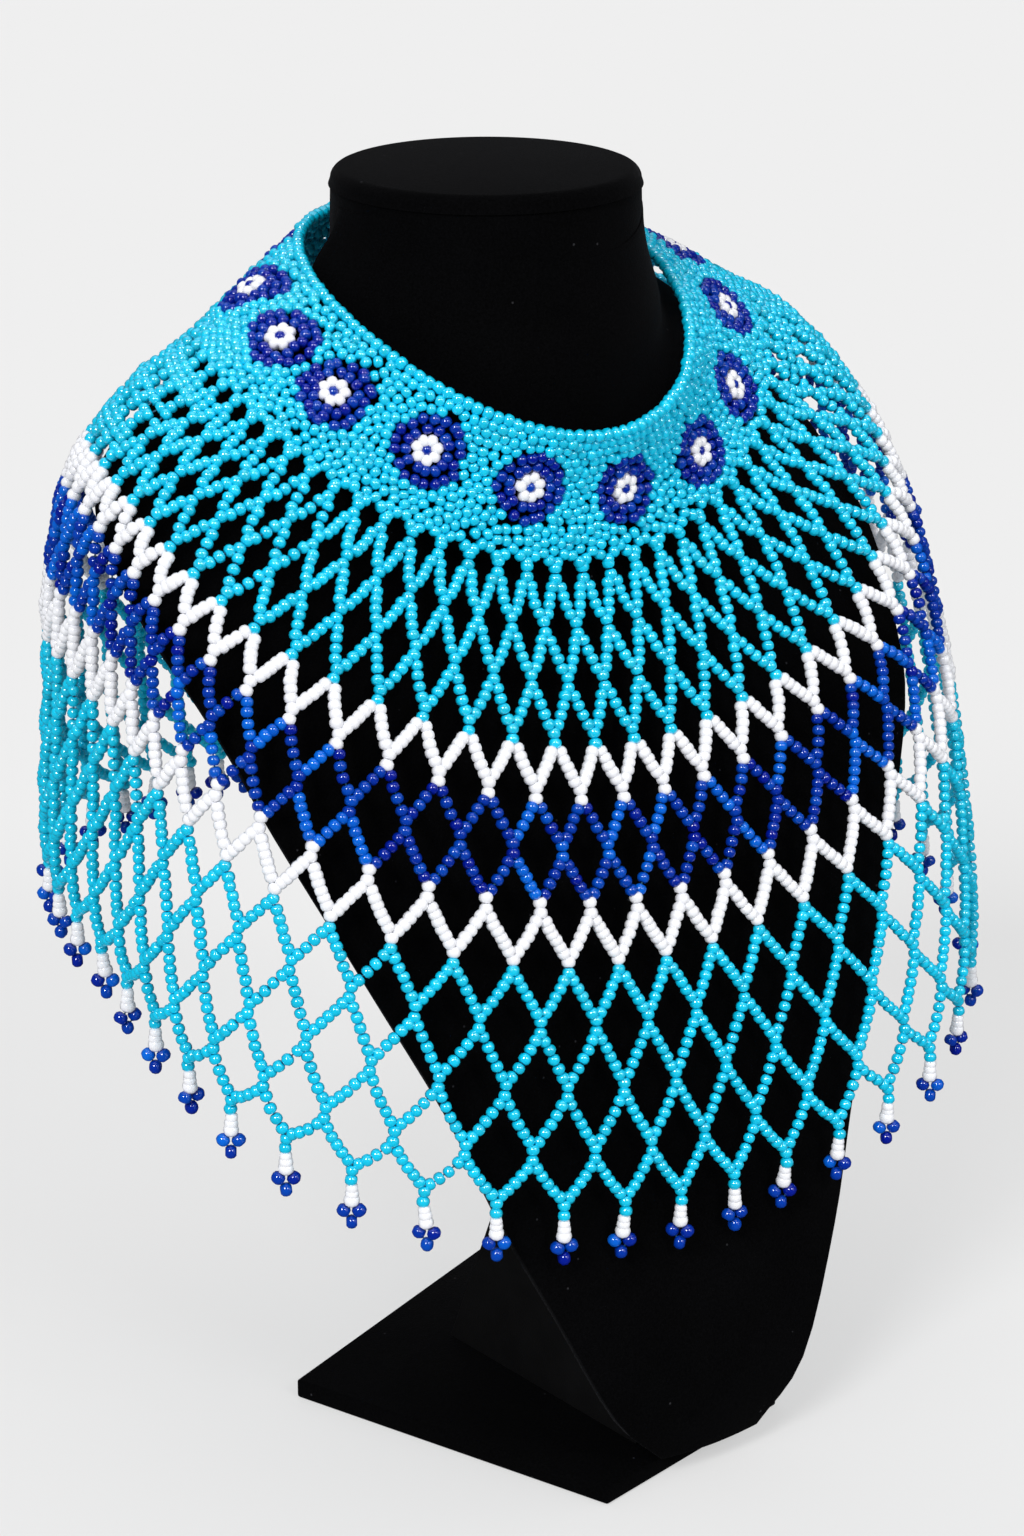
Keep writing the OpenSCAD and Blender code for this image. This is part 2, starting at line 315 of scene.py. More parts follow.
# ---------------------------------------------------------------- helpers

def deselect():
    if bpy.context.object and bpy.context.object.mode != "OBJECT":
        bpy.ops.object.mode_set(mode="OBJECT")
    bpy.ops.object.select_all(action="DESELECT")


def activate(obj):
    deselect()
    obj.select_set(True)
    bpy.context.view_layer.objects.active = obj


def apply_modifier(obj, kind, **values):
    activate(obj)
    modifier = obj.modifiers.new(kind.title(), kind)
    for key, value in values.items():
        setattr(modifier, key, value)
    bpy.ops.object.modifier_apply(modifier=modifier.name)


def settle(obj):
    """Puts the object's place into its mesh."""
    activate(obj)
    bpy.ops.object.transform_apply(location=True, rotation=True, scale=True)


def select_vertices(obj, wanted):
    """Selects, in edit mode, the vertices that pass a test."""
    bpy.ops.mesh.select_all(action="DESELECT")
    mesh = bmesh.from_edit_mesh(obj.data)
    for v in mesh.verts:
        v.select = wanted(v)
    mesh.select_flush(True)
    bmesh.update_edit_mesh(obj.data)


def smooth_shade(obj, angle):
    activate(obj)
    bpy.ops.object.shade_smooth_by_angle(angle=math.radians(angle))
    for modifier in [m for m in obj.modifiers if m.type == "NODES"]:
        bpy.ops.object.modifier_apply(modifier=modifier.name)


def dress(obj, finish):
    """Gives a mesh one finish."""
    obj.data.materials.clear()
    obj.data.materials.append(get_materials()[finish])


def to_frame(points):
    """Millimetres from the neck axis to metres in the shared frame."""
    return (np.asarray(points) + np.array([0.0, NECK_Y, 0.0])) * MM


# ---------------------------------------------------------------- materials

def node_material(name):
    material = bpy.data.materials.new(name)
    material.use_nodes = True
    nodes = material.node_tree.nodes
    return material, nodes, material.node_tree.links, nodes["Principled BSDF"]


def set_inputs(node, values):
    for key, value in values.items():
        node.inputs[key].default_value = value


def new_group(name, inputs, outputs):
    """A node group with its sockets, and its nodes, links, entry and exit."""
    group = bpy.data.node_groups.new(name, "ShaderNodeTree")
    for key, value in inputs.items():
        group.interface.new_socket(key, in_out="INPUT", socket_type="NodeSocketFloat").default_value = value
    for key, kind in outputs.items():
        group.interface.new_socket(key, in_out="OUTPUT", socket_type=kind)
    nodes = group.nodes
    return group, nodes, group.links, nodes.new("NodeGroupInput"), nodes.new("NodeGroupOutput")


def speckle_group():
    """Group: fine uneven surface, as a mask and a height, from object coordinates."""
    if "Fine unevenness" in bpy.data.node_groups:
        return bpy.data.node_groups["Fine unevenness"]
    group, nodes, links, enter, leave = new_group(
        "Fine unevenness", {"Size": 500, "Depth": 0.3},
        {"Mask": "NodeSocketFloat", "Normal": "NodeSocketVector"})
    coords = nodes.new("ShaderNodeTexCoord")
    noise = nodes.new("ShaderNodeTexNoise")
    set_inputs(noise, {"Detail": 3, "Roughness": 0.6})
    bump = nodes.new("ShaderNodeBump")
    set_inputs(bump, {"Distance": 0.0003})
    links.new(coords.outputs["Object"], noise.inputs["Vector"])
    links.new(enter.outputs["Size"], noise.inputs["Scale"])
    links.new(enter.outputs["Depth"], bump.inputs["Strength"])
    links.new(noise.outputs["Fac"], bump.inputs["Height"])
    links.new(noise.outputs["Fac"], leave.inputs["Mask"])
    links.new(bump.outputs["Normal"], leave.inputs["Normal"])
    return group


def lint_group():
    """Group: a mask of tiny specks of lint, far apart."""
    group, nodes, links, enter, leave = new_group("Lint", {"Size": 150}, {"Mask": "NodeSocketFloat"})
    coords = nodes.new("ShaderNodeTexCoord")
    cells = nodes.new("ShaderNodeTexVoronoi")
    links.new(coords.outputs["Object"], cells.inputs["Vector"])
    links.new(enter.outputs["Size"], cells.inputs["Scale"])
    speck = nodes.new("ShaderNodeMapRange")
    set_inputs(speck, {"From Min": 0.03, "From Max": 0.07, "To Min": 1, "To Max": 0})
    links.new(cells.outputs["Distance"], speck.inputs["Value"])
    chance = nodes.new("ShaderNodeSeparateColor")
    links.new(cells.outputs["Color"], chance.inputs["Color"])
    keep = add_math(nodes, links, "GREATER_THAN", chance.outputs["Red"], 0.45)
    links.new(add_math(nodes, links, "MULTIPLY", speck.outputs["Result"], keep), leave.inputs["Mask"])
    return group


def add_group(nodes, group, **values):
    node = nodes.new("ShaderNodeGroup")
    node.node_tree = group
    set_inputs(node, values)
    return node


def add_math(nodes, links, operation, *values):
    """Result of a math node on sockets and numbers."""
    node = nodes.new("ShaderNodeMath")
    node.operation = operation
    for socket, value in zip(node.inputs, values):
        if isinstance(value, bpy.types.NodeSocket):
            links.new(value, socket)
        else:
            socket.default_value = value
    return node.outputs[0]


def mix_colour(nodes, links, factor, colour, other):
    """A colour from a socket that gives way to another one where the factor is 1."""
    node = nodes.new("ShaderNodeMix")
    node.data_type = "RGBA"
    node.inputs["B"].default_value = other
    links.new(factor, node.inputs["Factor"])
    links.new(colour, node.inputs["A"])
    return node.outputs["Result"]


def ramp_between(nodes, low, high, start=0.0, end=1.0):
    ramp = nodes.new("ShaderNodeValToRGB")
    ramp.color_ramp.elements[0].position = start
    ramp.color_ramp.elements[1].position = end
    ramp.color_ramp.elements[0].color = (*low, 1)
    ramp.color_ramp.elements[1].color = (*high, 1)
    return ramp


def glass_bead_material(name, dark, light, shine, coat, depth):
    """Opaque glass whose tone changes a little from bead to bead."""
    material, nodes, links, shader = node_material(name)
    tone = nodes.new("ShaderNodeAttribute")
    tone.attribute_name = "bead_tone"
    ramp = ramp_between(nodes, dark, light)
    links.new(tone.outputs["Fac"], ramp.inputs["Fac"])
    links.new(ramp.outputs["Color"], shader.inputs["Base Color"])
    uneven = add_group(nodes, speckle_group(), Size=900, Depth=depth)
    links.new(uneven.outputs["Normal"], shader.inputs["Normal"])
    set_inputs(shader, {"Roughness": 0.3, "IOR": 1.52, "Specular IOR Level": shine,
                        "Coat Weight": coat, "Coat Roughness": 0.04, "Coat IOR": 2.3})
    return material


def thread_material():
    material, nodes, links, shader = node_material("Nylon thread")
    uneven = add_group(nodes, speckle_group(), Size=1500, Depth=0.4)
    ramp = ramp_between(nodes, (0.01, 0.07, 0.13), (0.03, 0.14, 0.22))
    links.new(uneven.outputs["Mask"], ramp.inputs["Fac"])
    links.new(ramp.outputs["Color"], shader.inputs["Base Color"])
    links.new(uneven.outputs["Normal"], shader.inputs["Normal"])
    set_inputs(shader, {"Roughness": 0.45})
    return material


def velvet_material(settings):
    """Short black pile: no gloss, a soft sheen at the edges, and a few paler fibres."""
    material, nodes, links, shader = node_material("Black velvet")
    pile = add_group(nodes, speckle_group(), Size=1400, Depth=0.55)
    patches = add_group(nodes, speckle_group(), Size=28, Depth=0.0)
    dark = settings.velvet
    ramp = ramp_between(nodes, tuple(c * 0.55 for c in dark), tuple(c * 1.7 for c in dark), 0.35, 0.7)
    fine = add_math(nodes, links, "MULTIPLY", pile.outputs["Mask"], 0.65)
    links.new(add_math(nodes, links, "MULTIPLY_ADD", patches.outputs["Mask"], 0.35, fine), ramp.inputs["Fac"])
    lint = add_group(nodes, lint_group(), Size=150)
    links.new(mix_colour(nodes, links, lint.outputs["Mask"], ramp.outputs["Color"], LINT_COLOUR),
              shader.inputs["Base Color"])
    links.new(pile.outputs["Normal"], shader.inputs["Normal"])
    set_inputs(shader, {"Roughness": 0.95, "Specular IOR Level": 0.02, "Sheen Weight": 0.03,
                        "Sheen Roughness": 0.35, "Sheen Tint": (0.8, 0.82, 0.9, 1)})
    return material


def leatherette_material(settings):
    """Smooth coated cloth with a faint grain."""
    material, nodes, links, shader = node_material("Black leatherette")
    coords = nodes.new("ShaderNodeTexCoord")
    cells = nodes.new("ShaderNodeTexVoronoi")
    cells.feature = "DISTANCE_TO_EDGE"
    set_inputs(cells, {"Scale": 900})
    links.new(coords.outputs["Object"], cells.inputs["Vector"])
    bump = nodes.new("ShaderNodeBump")
    set_inputs(bump, {"Strength": 0.25, "Distance": 0.0002})
    links.new(cells.outputs["Distance"], bump.inputs["Height"])
    links.new(bump.outputs["Normal"], shader.inputs["Normal"])
    patches = add_group(nodes, speckle_group(), Size=60, Depth=0.0)
    dark = settings.leatherette
    ramp = ramp_between(nodes, tuple(c * 0.8 for c in dark), tuple(c * 1.25 for c in dark), 0.3, 0.7)
    links.new(patches.outputs["Mask"], ramp.inputs["Fac"])
    links.new(ramp.outputs["Color"], shader.inputs["Base Color"])
    set_inputs(shader, {"Roughness": 0.5, "Specular IOR Level": 0.15})
    return material


def get_materials():
    """The finishes, made once."""
    if "Turquoise glass beads" not in bpy.data.materials:
        beads = bpy.context.scene.collar_beads
        stand = bpy.context.scene.collar_stand
        glass_bead_material("Turquoise glass beads", tuple(c * 0.8 for c in beads.turquoise),
                            tuple(min(1, c * 1.15) for c in beads.turquoise),
                            shine=0.15, coat=1.0, depth=0.03)
        glass_bead_material("Cobalt glass beads", tuple(beads.cobalt), tuple(beads.pale_cobalt),
                            shine=0.03, coat=0.55, depth=0.02)
        glass_bead_material("White glass beads", tuple(c * 0.93 for c in beads.white),
                            tuple(beads.white), shine=0.15, coat=0.5, depth=0.03)
        thread_material()
        velvet_material(stand)
        leatherette_material(stand)
    return bpy.data.materials


# ---------------------------------------------------------------- beads

def model_bead(size, length):
    """One seed bead modelled on the Z axis: a rounded, closed bead whose ends dip in where the thread hole
    would be.
    """
    deselect()
    bpy.ops.mesh.primitive_uv_sphere_add(segments=8, ring_count=6, radius=size / 2, location=(0, 0, 0))
    bead = bpy.context.object
    bpy.ops.object.mode_set(mode="EDIT")
    bpy.ops.mesh.select_all(action="SELECT")
    bpy.ops.transform.resize(value=(1, 1, length / size), center_override=(0, 0, 0))
    select_vertices(bead, lambda v: abs(v.co.z) > length * 0.499)
    bpy.ops.transform.resize(value=(1, 1, BEAD_DIP), center_override=(0, 0, 0))
    for low, wider in BEAD_BANDS:
        select_vertices(bead, lambda v: low * length < abs(v.co.z) < (low + BAND_HEIGHT) * length * 0.95)
        bpy.ops.transform.resize(value=(wider, wider, 1), center_override=(0, 0, 0))
    bpy.ops.object.mode_set(mode="OBJECT")
    points = np.empty(len(bead.data.vertices) * 3)
    bead.data.vertices.foreach_get("co", points)
    faces = sorted(list(p.vertices) for p in bead.data.polygons)
    data = bead.data
    bpy.data.objects.remove(bead)
    bpy.data.meshes.remove(data)
    return points.reshape(-1, 3), faces


class Strung:
    """Beads and thread gathered for one piece, in millimetres from the neck axis."""

    def __init__(self, seed):
        self.random = np.random.default_rng(seed)
        self.settings = bpy.context.scene.collar_beads
        self.pitch = self.settings.pitch / MM
        self.centres, self.axes, self.sizes, self.slots, self.tones = [], [], [], [], []
        self.threads = []

    def bead(self, centre, axis, slot, size=1.0, tone=0.5):
        self.centres.append(centre)
        self.axes.append(axis)
        self.sizes.append(size * (WHITE_SIZE if slot == "white" else 1.0))
        self.slots.append(SLOTS[slot])
        self.tones.append(tone)

    def batch(self):
        """Tone of a string of beads: most are deep, some come from a paler batch."""
        return PALE_TONE if self.random.uniform() < PALE_SHARE else self.random.uniform(*DEEP_TONES)

    def thread(self, path):
        """Thread along a path, without stretches of next to no length."""
        for a, b in zip(path[:-1], path[1:]):
            if np.linalg.norm(b - a) > 0.01:
                self.threads.append((a, b))

    def build(self, name):
        """One joined mesh of all beads and their thread."""
        points, faces = model_bead(self.settings.bead_size / MM, self.settings.bead_length / MM)
        thread_size = self.settings.thread / MM
        n = len(self.centres)
        centres = np.array(self.centres)
        axes = unit(np.array(self.axes) + self.random.normal(0, TILT_SPREAD, (n, 3)))
        sizes = np.array(self.sizes) * (1 + self.random.normal(0, SIZE_SPREAD, n))
        centres = centres + self.random.normal(0, PLACE_SPREAD, (n, 3))
        side, other = across_ways(axes)
        spin = self.random.uniform(0, math.tau, n)[:, None]
        x = side * np.cos(spin) + other * np.sin(spin)
        y = np.cross(axes, x)
        verts = (centres[:, None, :] + sizes[:, None, None] * (
            points[None, :, 0:1] * x[:, None, :] + points[None, :, 1:2] * y[:, None, :]
            + points[None, :, 2:3] * axes[:, None, :])).reshape(-1, 3)
        tones = np.array(self.tones) + self.random.normal(0, TONE_SPREAD, n)
        tones = np.repeat(np.clip(tones, 0, 1), len(points))
        loops, totals, slots = [], [], []
        base = np.arange(n)[:, None] * len(points)
        for face in faces:
            loops.append((base + np.array(face)[None, :]).ravel())
            totals.append(np.full(n, len(face)))
            slots.append(np.array(self.slots))
        # thread, a three-sided tube along each stretch
        a = np.array([t[0] for t in self.threads])
        b = np.array([t[1] for t in self.threads])
        p, q = across_ways(unit(b - a))
        ring = [p * math.cos(t) + q * math.sin(t) for t in (0, math.tau / 3, 2 * math.tau / 3)]
        tube = np.stack([a + r * thread_size for r in ring] + [b + r * thread_size for r in ring], 1)
        start = len(verts) + np.arange(len(a))[:, None] * 6
        verts = np.concatenate([verts, tube.reshape(-1, 3)])
        tones = np.concatenate([tones, np.full(len(a) * 6, 0.5)])
        for face in ((0, 1, 4, 3), (1, 2, 5, 4), (2, 0, 3, 5), (2, 1, 0), (3, 4, 5)):
            loops.append((start + np.array(face)[None, :]).ravel())
            totals.append(np.full(len(a), len(face)))
            slots.append(np.full(len(a), SLOTS["thread"]))
        return joined_mesh(name, to_frame(verts), np.concatenate(loops), np.concatenate(totals),
                           np.concatenate(slots), tones)


def joined_mesh(name, verts, loops, totals, slots, tones):
    """An object from arrays: its finishes by slot, and each bead's tone as an attribute."""
    mesh = bpy.data.meshes.new(name)
    mesh.vertices.add(len(verts))
    mesh.vertices.foreach_set("co", verts.astype(np.float32).ravel())
    mesh.loops.add(len(loops))
    mesh.loops.foreach_set("vertex_index", loops.astype(np.int32))
    mesh.polygons.add(len(totals))
    starts = np.concatenate([[0], np.cumsum(totals)[:-1]])
    mesh.polygons.foreach_set("loop_start", starts.astype(np.int32))
    mesh.polygons.foreach_set("loop_total", totals.astype(np.int32))
    for finish in FINISHES.values():
        mesh.materials.append(get_materials()[finish])
    mesh.polygons.foreach_set("material_index", slots.astype(np.int32))
    mesh.polygons.foreach_set("use_smooth", np.ones(len(totals), bool))
    mesh.update(calc_edges=True)
    tone = mesh.attributes.new("bead_tone", "FLOAT", "POINT")
    tone.data.foreach_set("value", tones.astype(np.float32))
    obj = bpy.data.objects.new(name, mesh)
    bpy.context.scene.collection.objects.link(obj)
    return obj


def add_knots(strung, row, above=True, below=True):
    """The stacked beads where strands meet, on one row of the net."""
    pitch = strung.pitch
    upper, lower = KNOTS.get(row, ("turquoise", "turquoise"))
    for k in range(COLUMNS):
        column = k + (0.5 if row % 2 else 0.0)
        angle = column_angle(column)
        p = drape(row, angle)
        d = down_way(row, angle)
        tone = strung.batch() if upper == "cobalt" else 0.5
        if above:
            strung.bead(p - d * pitch / 2, d, upper, KNOT_SIZE, tone)
        if below:
            strung.bead(p + d * pitch / 2, d, lower, KNOT_SIZE, tone)
        strung.thread([p - d * pitch * (1.0 if above else 0.0), p + d * pitch * (1.0 if below else 0.0)])


def add_strands(strung, row):
    """Both slanting strands from each knot on a row to the knots on the next one."""
    pitch = strung.pitch
    slot = STRANDS.get(row, "turquoise")
    for k in range(COLUMNS):
        column = k + (0.5 if row % 2 else 0.0)
        for side in (-1, 1):
            a1, a2 = column_angle(column), column_angle(column + side / 2)
            p1, p2 = drape(row, a1), drape(row + 1, a2)
            d1, d2 = down_way(row, a1), down_way(row + 1, a2)
            middle = drape(row + 0.5, (a1 + a2) / 2) - (p1 + p2) / 2
            start = p1 + (d1 * BESIDE_DOWN + side_way(row, a1) * side * BESIDE) * pitch
            end = p2 - (d2 * BESIDE_DOWN + side_way(row + 1, a2) * side * BESIDE) * pitch
            step = pitch * (WHITE_STEP if slot == "white" else 1.0)
            bow = np.linalg.norm(middle)
            length = np.linalg.norm(end - start)
            length += 8 * bow * bow / (3 * length)
            count = max(2, 1 + int(length / step + LAST_BEAD))
            path = [start + (end - start) * s + middle * 4 * s * (1 - s)
                    for s in np.linspace(0, 1, count)]
            tone = strung.batch() if slot == "cobalt" else 0.5
            for k, centre in enumerate(path):
                strung.bead(centre, unit(path[min(k + 1, count - 1)] - path[max(k - 1, 0)]), slot, tone=tone)
            strung.thread([p1 + d1 * pitch / 2, start, path[count // 2], end, p2 - d2 * pitch / 2])


def add_drops(strung):
    """A drop under each knot of the last row: white stem and a cluster of cobalt beads."""
    pitch = strung.pitch
    for k in range(COLUMNS):
        angle = column_angle(k + 0.5)
        knot = drape(11, angle)
        side = side_way(11, angle)
        out = unit(np.cross([0.0, 0.0, -1.0], side))
        lean = strung.random.normal(0, LEAN_SPREAD, 2)
        down = unit(np.array([0.0, 0.0, -1.0]) + side * lean[0] + out * lean[1])
        at = knot + down * pitch
        for size in STEM:
            strung.bead(at + down * pitch * size * STEM_STEP / 2, down, "white", size)
            at = at + down * pitch * size * STEM_STEP
        twist = FACING + strung.random.normal(0, FACING_SPREAD)
        flat = np.array([math.cos(twist), math.sin(twist), 0.0])
        size = strung.settings.bead_size / MM * CLUSTER
        pair = at + down * size * PAIR_DROP
        tip = pair + down * size * TIP_DROP
        for way in (-1, 1):
            strung.bead(pair + flat * way * size * PAIR_SPREAD, unit(down + flat * way * PAIR_LEAN),
                        "cobalt", CLUSTER, strung.batch())
        strung.bead(tip, flat, "cobalt", CLUSTER, 0.2)
        strung.thread([knot, at, pair + flat * size * 0.5, tip, pair - flat * size * 0.5, at])


# ---------------------------------------------------------------- collar band

def relax(rows, angles, fixed, spacing):
    """Moves free points apart over the band, in a fixed number of passes."""
    for _ in range(SPREAD_PASSES):
        points = drape(rows, angles)
        delta = points[:, None, :] - points[None, :, :]
        distance = np.sqrt((delta ** 2).sum(-1)) + 1e-6
        push = np.clip(spacing - distance, 0, None) / distance
        np.fill_diagonal(push, 0)
        move = (delta * push[:, :, None]).sum(1) * 0.32
        # turn the move on the surface into row and angle steps
        by_row, by_angle = drape_slopes(rows, angles, points)
        e = (by_row * by_row).sum(-1)
        f = (by_row * by_angle).sum(-1)
        g = (by_angle * by_angle).sum(-1)
        mr = (move * by_row).sum(-1)
        ma = (move * by_angle).sum(-1)
        det = e * g - f * f
        rows = np.where(fixed, rows, np.clip(rows + (g * mr - f * ma) / det, RIM_ROW + HEM_GAP,
                                                   hem_row(angles) - 0.1))
        angles = np.where(fixed, angles, angles + (e * ma - f * mr) / det)
    return rows, angles


def rosette_points(strung, column, row):
    """Row, angle, colour and ring of each bead of one eye rosette."""
    angle = float(column_angle(column))
    centre = drape(row, angle)
    by_row, by_angle = drape_slopes(row, angle, centre)
    side = unit(by_angle)
    down = unit(np.cross(side, np.cross(by_row, by_angle)))
    down = down if np.dot(down, by_row) > 0 else -down
    basis = np.array([[np.dot(by_row, side), np.dot(by_angle, side)],
                      [np.dot(by_row, down), np.dot(by_angle, down)]])
    inverse = np.linalg.inv(basis)
    found = []
    for ring, (count, radius, colour, loose) in enumerate(ROSETTE_RINGS):
        for k in range(count):
            t = math.tau * (k + 0.35 * ring) / count
            way = np.array([math.cos(t), math.sin(t)]) * radius + strung.random.normal(0, loose, 2)
            step = inverse @ way * strung.pitch
            found.append((row + step[0], angle + step[1], colour, ring))
    return found


def hem_row(angle):
    """Row of the neck band's lower edge, which arches up between the columns of the net."""
    phase = np.asarray(angle) * COLUMNS / 360.0 + FRONT_COLUMN
    return -0.17 - 0.2 * (1 - np.cos(phase * math.tau)) / 2


def add_collar(strung):
    """Dense netting: fixed rows at the edges, rosettes, and relaxed beads between them."""
    pitch = strung.pitch
    rows, angles, colours, fixed, kinds = [], [], [], [], []

    def put(row, angle, colour, still, kind):
        rows.append(row)
        angles.append(angle)
        colours.append(colour)
        fixed.append(still)
        kinds.append(kind)

    top = np.linspace(-180 + HALF_OPENING, 180 - HALF_OPENING, 4000)
    for row, kind in ((np.full(4000, RIM_ROW), "edge"), (hem_row(top), "hem")):
        line = drape(row, top)
        along = np.concatenate([[0], np.cumsum(np.linalg.norm(np.diff(line, axis=0), axis=1))])
        count = int(along[-1] / pitch)
        for at in np.linspace(0, along[-1], count):
            angle = np.interp(at, along, top)
            put(np.interp(angle, top, row), angle, "turquoise", True, kind)
    for column, middle in ROSETTES:
        for row, angle, colour, ring in rosette_points(strung, column, middle):
            angle = (angle + 180) % 360 - 180
            put(row, angle, colour, True, ring)
    taken = drape(np.array(rows), np.array(angles))
    for row in FIELD_ROWS:
        line = drape(row, top)
        length = np.linalg.norm(np.diff(line, axis=0), axis=1).sum()
        count = int(length / (pitch * 0.95))
        offset = strung.random.uniform(0, 1)
        for k in range(count):
            angle = -180 + HALF_OPENING + (360 - 2 * HALF_OPENING) * (k + offset) / count
            jitter_row = row + strung.random.normal(0, ROW_SPREAD)
            angle = angle + strung.random.normal(0, ANGLE_SPREAD)
            p = drape(jitter_row, angle)
            if strung.random.uniform() < LEFT_OUT or jitter_row > hem_row(angle) - HEM_GAP:
                continue
            if np.min(((taken - p) ** 2).sum(-1)) > (pitch * CLEAR) ** 2:
                put(jitter_row, angle, "turquoise", False, "field")
    rows, angles = relax(np.array(rows), np.array(angles), np.array(fixed), pitch * SPREAD)
    # beads in the holes that are left
    try_rows, try_angles = (g.ravel() for g in np.meshgrid(np.arange(-2.45, -0.3, 0.05), top[::5]))
    inside = try_rows < hem_row(try_angles) - HEM_GAP
    try_rows, try_angles = try_rows[inside], try_angles[inside]
    for part in np.array_split(np.arange(len(try_rows)), 40):  # in parts, to save memory
        points = drape(rows, angles)
        spots = drape(try_rows[part], try_angles[part])
        room = np.sqrt(((spots[:, None, :] - points[None, :, :]) ** 2).sum(-1).min(1))
        while room.max() > pitch * ROOM_FOR_ONE:
            best = room.argmax()
            rows = np.append(rows, try_rows[part][best])
            angles = np.append(angles, try_angles[part][best])
            colours.append("turquoise")
            kinds.append("field")
            room = np.minimum(room, np.linalg.norm(spots - spots[best], axis=1))
    points = drape(rows, angles)
    # beads that ended up among a rosette's rings are blue as well
    middles = drape(np.array([row for column, row in ROSETTES]),
                    column_angle(np.array([column for column, row in ROSETTES])))
    near = np.linalg.norm(points[:, None, :] - middles[None, :, :], axis=-1).min(1)
    for i in np.flatnonzero(near < pitch * ROSETTE_REACH):
        colours[i] = "cobalt" if kinds[i] == "field" else colours[i]
    delta = ((points[:, None, :] - points[None, :, :]) ** 2).sum(-1)
    np.fill_diagonal(delta, 1e9)
    order = np.argsort(delta, axis=1)[:, :3]
    out = out_way(rows, angles)
    lift = strung.random.normal(0, LIFT_SPREAD, len(rows))
    for i in range(len(rows)):
        if kinds[i] == "field" and delta[i, order[i, 0]] < (pitch * TOO_NEAR) ** 2 and order[i, 0] < i:
            continue
        friend = order[i, strung.random.integers(0, 2)]
        axis = points[friend] - points[i]
        axis = unit(axis - out[i] * np.dot(axis, out[i]) * 0.5)
        size = BAND_SIZES.get(kinds[i], ROSETTE_SIZE)
        rise = out[i] * lift[i] * (1.0 if kinds[i] == "field" else 0.4)
        strung.bead(points[i] + rise, axis, colours[i], size, 0.1 if colours[i] == "cobalt" else 0.5)
        strung.thread([points[i], points[order[i, 1]]])


# ---------------------------------------------------------------- settings

class CollarBeadSettings(bpy.types.PropertyGroup):
    bead_size: bpy.props.FloatProperty(name="Bead size", description="Diameter of a bead",
                                       default=0.0037, unit="LENGTH", precision=4)
    bead_length: bpy.props.FloatProperty(name="Bead length", description="Length of a bead along its thread",
                                         default=0.0032, unit="LENGTH", precision=4)
    pitch: bpy.props.FloatProperty(name="Pitch", description="Distance between beads on a thread",
                                   default=0.00305, unit="LENGTH", precision=5)
    thread: bpy.props.FloatProperty(name="Thread", description="Radius of the thread",
                                    default=0.0003, unit="LENGTH", precision=5)
    turquoise: bpy.props.FloatVectorProperty(name="Turquoise", description="Colour of the turquoise beads",
                                             default=(0.0008, 0.59, 0.86), subtype="COLOR", min=0, max=1)
    cobalt: bpy.props.FloatVectorProperty(name="Cobalt", description="Colour of the dark blue beads",
                                          default=(0.0002, 0.009, 0.27), subtype="COLOR", min=0, max=1)
    pale_cobalt: bpy.props.FloatVectorProperty(name="Pale cobalt",
                                               description="Colour of the palest blue beads",
                                               default=(0.001, 0.13, 0.66), subtype="COLOR", min=0, max=1)
    white: bpy.props.FloatVectorProperty(name="White", description="Colour of the white beads",
                                         default=(0.88, 0.89, 0.93), subtype="COLOR", min=0, max=1)


class CollarStandSettings(bpy.types.PropertyGroup):
    velvet: bpy.props.FloatVectorProperty(name="Velvet", description="Colour of the velvet",
                                          default=(0.0012, 0.0012, 0.0014), subtype="COLOR", min=0, max=1)
    leatherette: bpy.props.FloatVectorProperty(name="Leatherette", description="Colour of the brace",
                                               default=(0.0045, 0.0045, 0.0048), subtype="COLOR",
                                               min=0, max=1)


class CollarStageSettings(bpy.types.PropertyGroup):
    backdrop: bpy.props.FloatVectorProperty(name="Backdrop", description="Colour of the floor and backdrop",
                                            default=(0.3, 0.3, 0.3), subtype="COLOR", min=0, max=1)
    glow: bpy.props.FloatProperty(name="Glow", default=0.5,
                                  description="Light of the floor's own, which softens its shadows")
    light: bpy.props.FloatProperty(name="Light", description="Strength of the soft lights", default=1.0)


# ---------------------------------------------------------------- operators

class COLLAR_OT_band(bpy.types.Operator):
    """Dense netted neck band with the eye rosettes"""
    bl_idname = "collar.band"
    bl_label = "Neck Band"

    def execute(self, context):
        strung = Strung(11)
        add_collar(strung)
        obj = strung.build("collar_beads")
        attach(obj, "root")
        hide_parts("collar_band")
        return {"FINISHED"}


class COLLAR_OT_upper_net(bpy.types.Operator):
    """Turquoise netting below the neck band"""
    bl_idname = "collar.upper_net"
    bl_label = "Upper Net"

    def execute(self, context):
        strung = Strung(12)
        for row in (0, 1, 2):
            add_knots(strung, row)
            add_strands(strung, row)
        add_knots(strung, 3, below=False)
        obj = strung.build("upper_net_beads")
        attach(obj, "root")
        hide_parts("upper_net")
        return {"FINISHED"}


class COLLAR_OT_middle_net(bpy.types.Operator):
    """Cobalt netting between the white zigzags"""
    bl_idname = "collar.middle_net"
    bl_label = "Middle Net"

    def execute(self, context):
        strung = Strung(13)
        for row in (4, 5):
            add_strands(strung, row)
        add_knots(strung, 5)
        obj = strung.build("middle_net_beads")
        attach(obj, "root")
        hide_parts("middle_net")
        return {"FINISHED"}


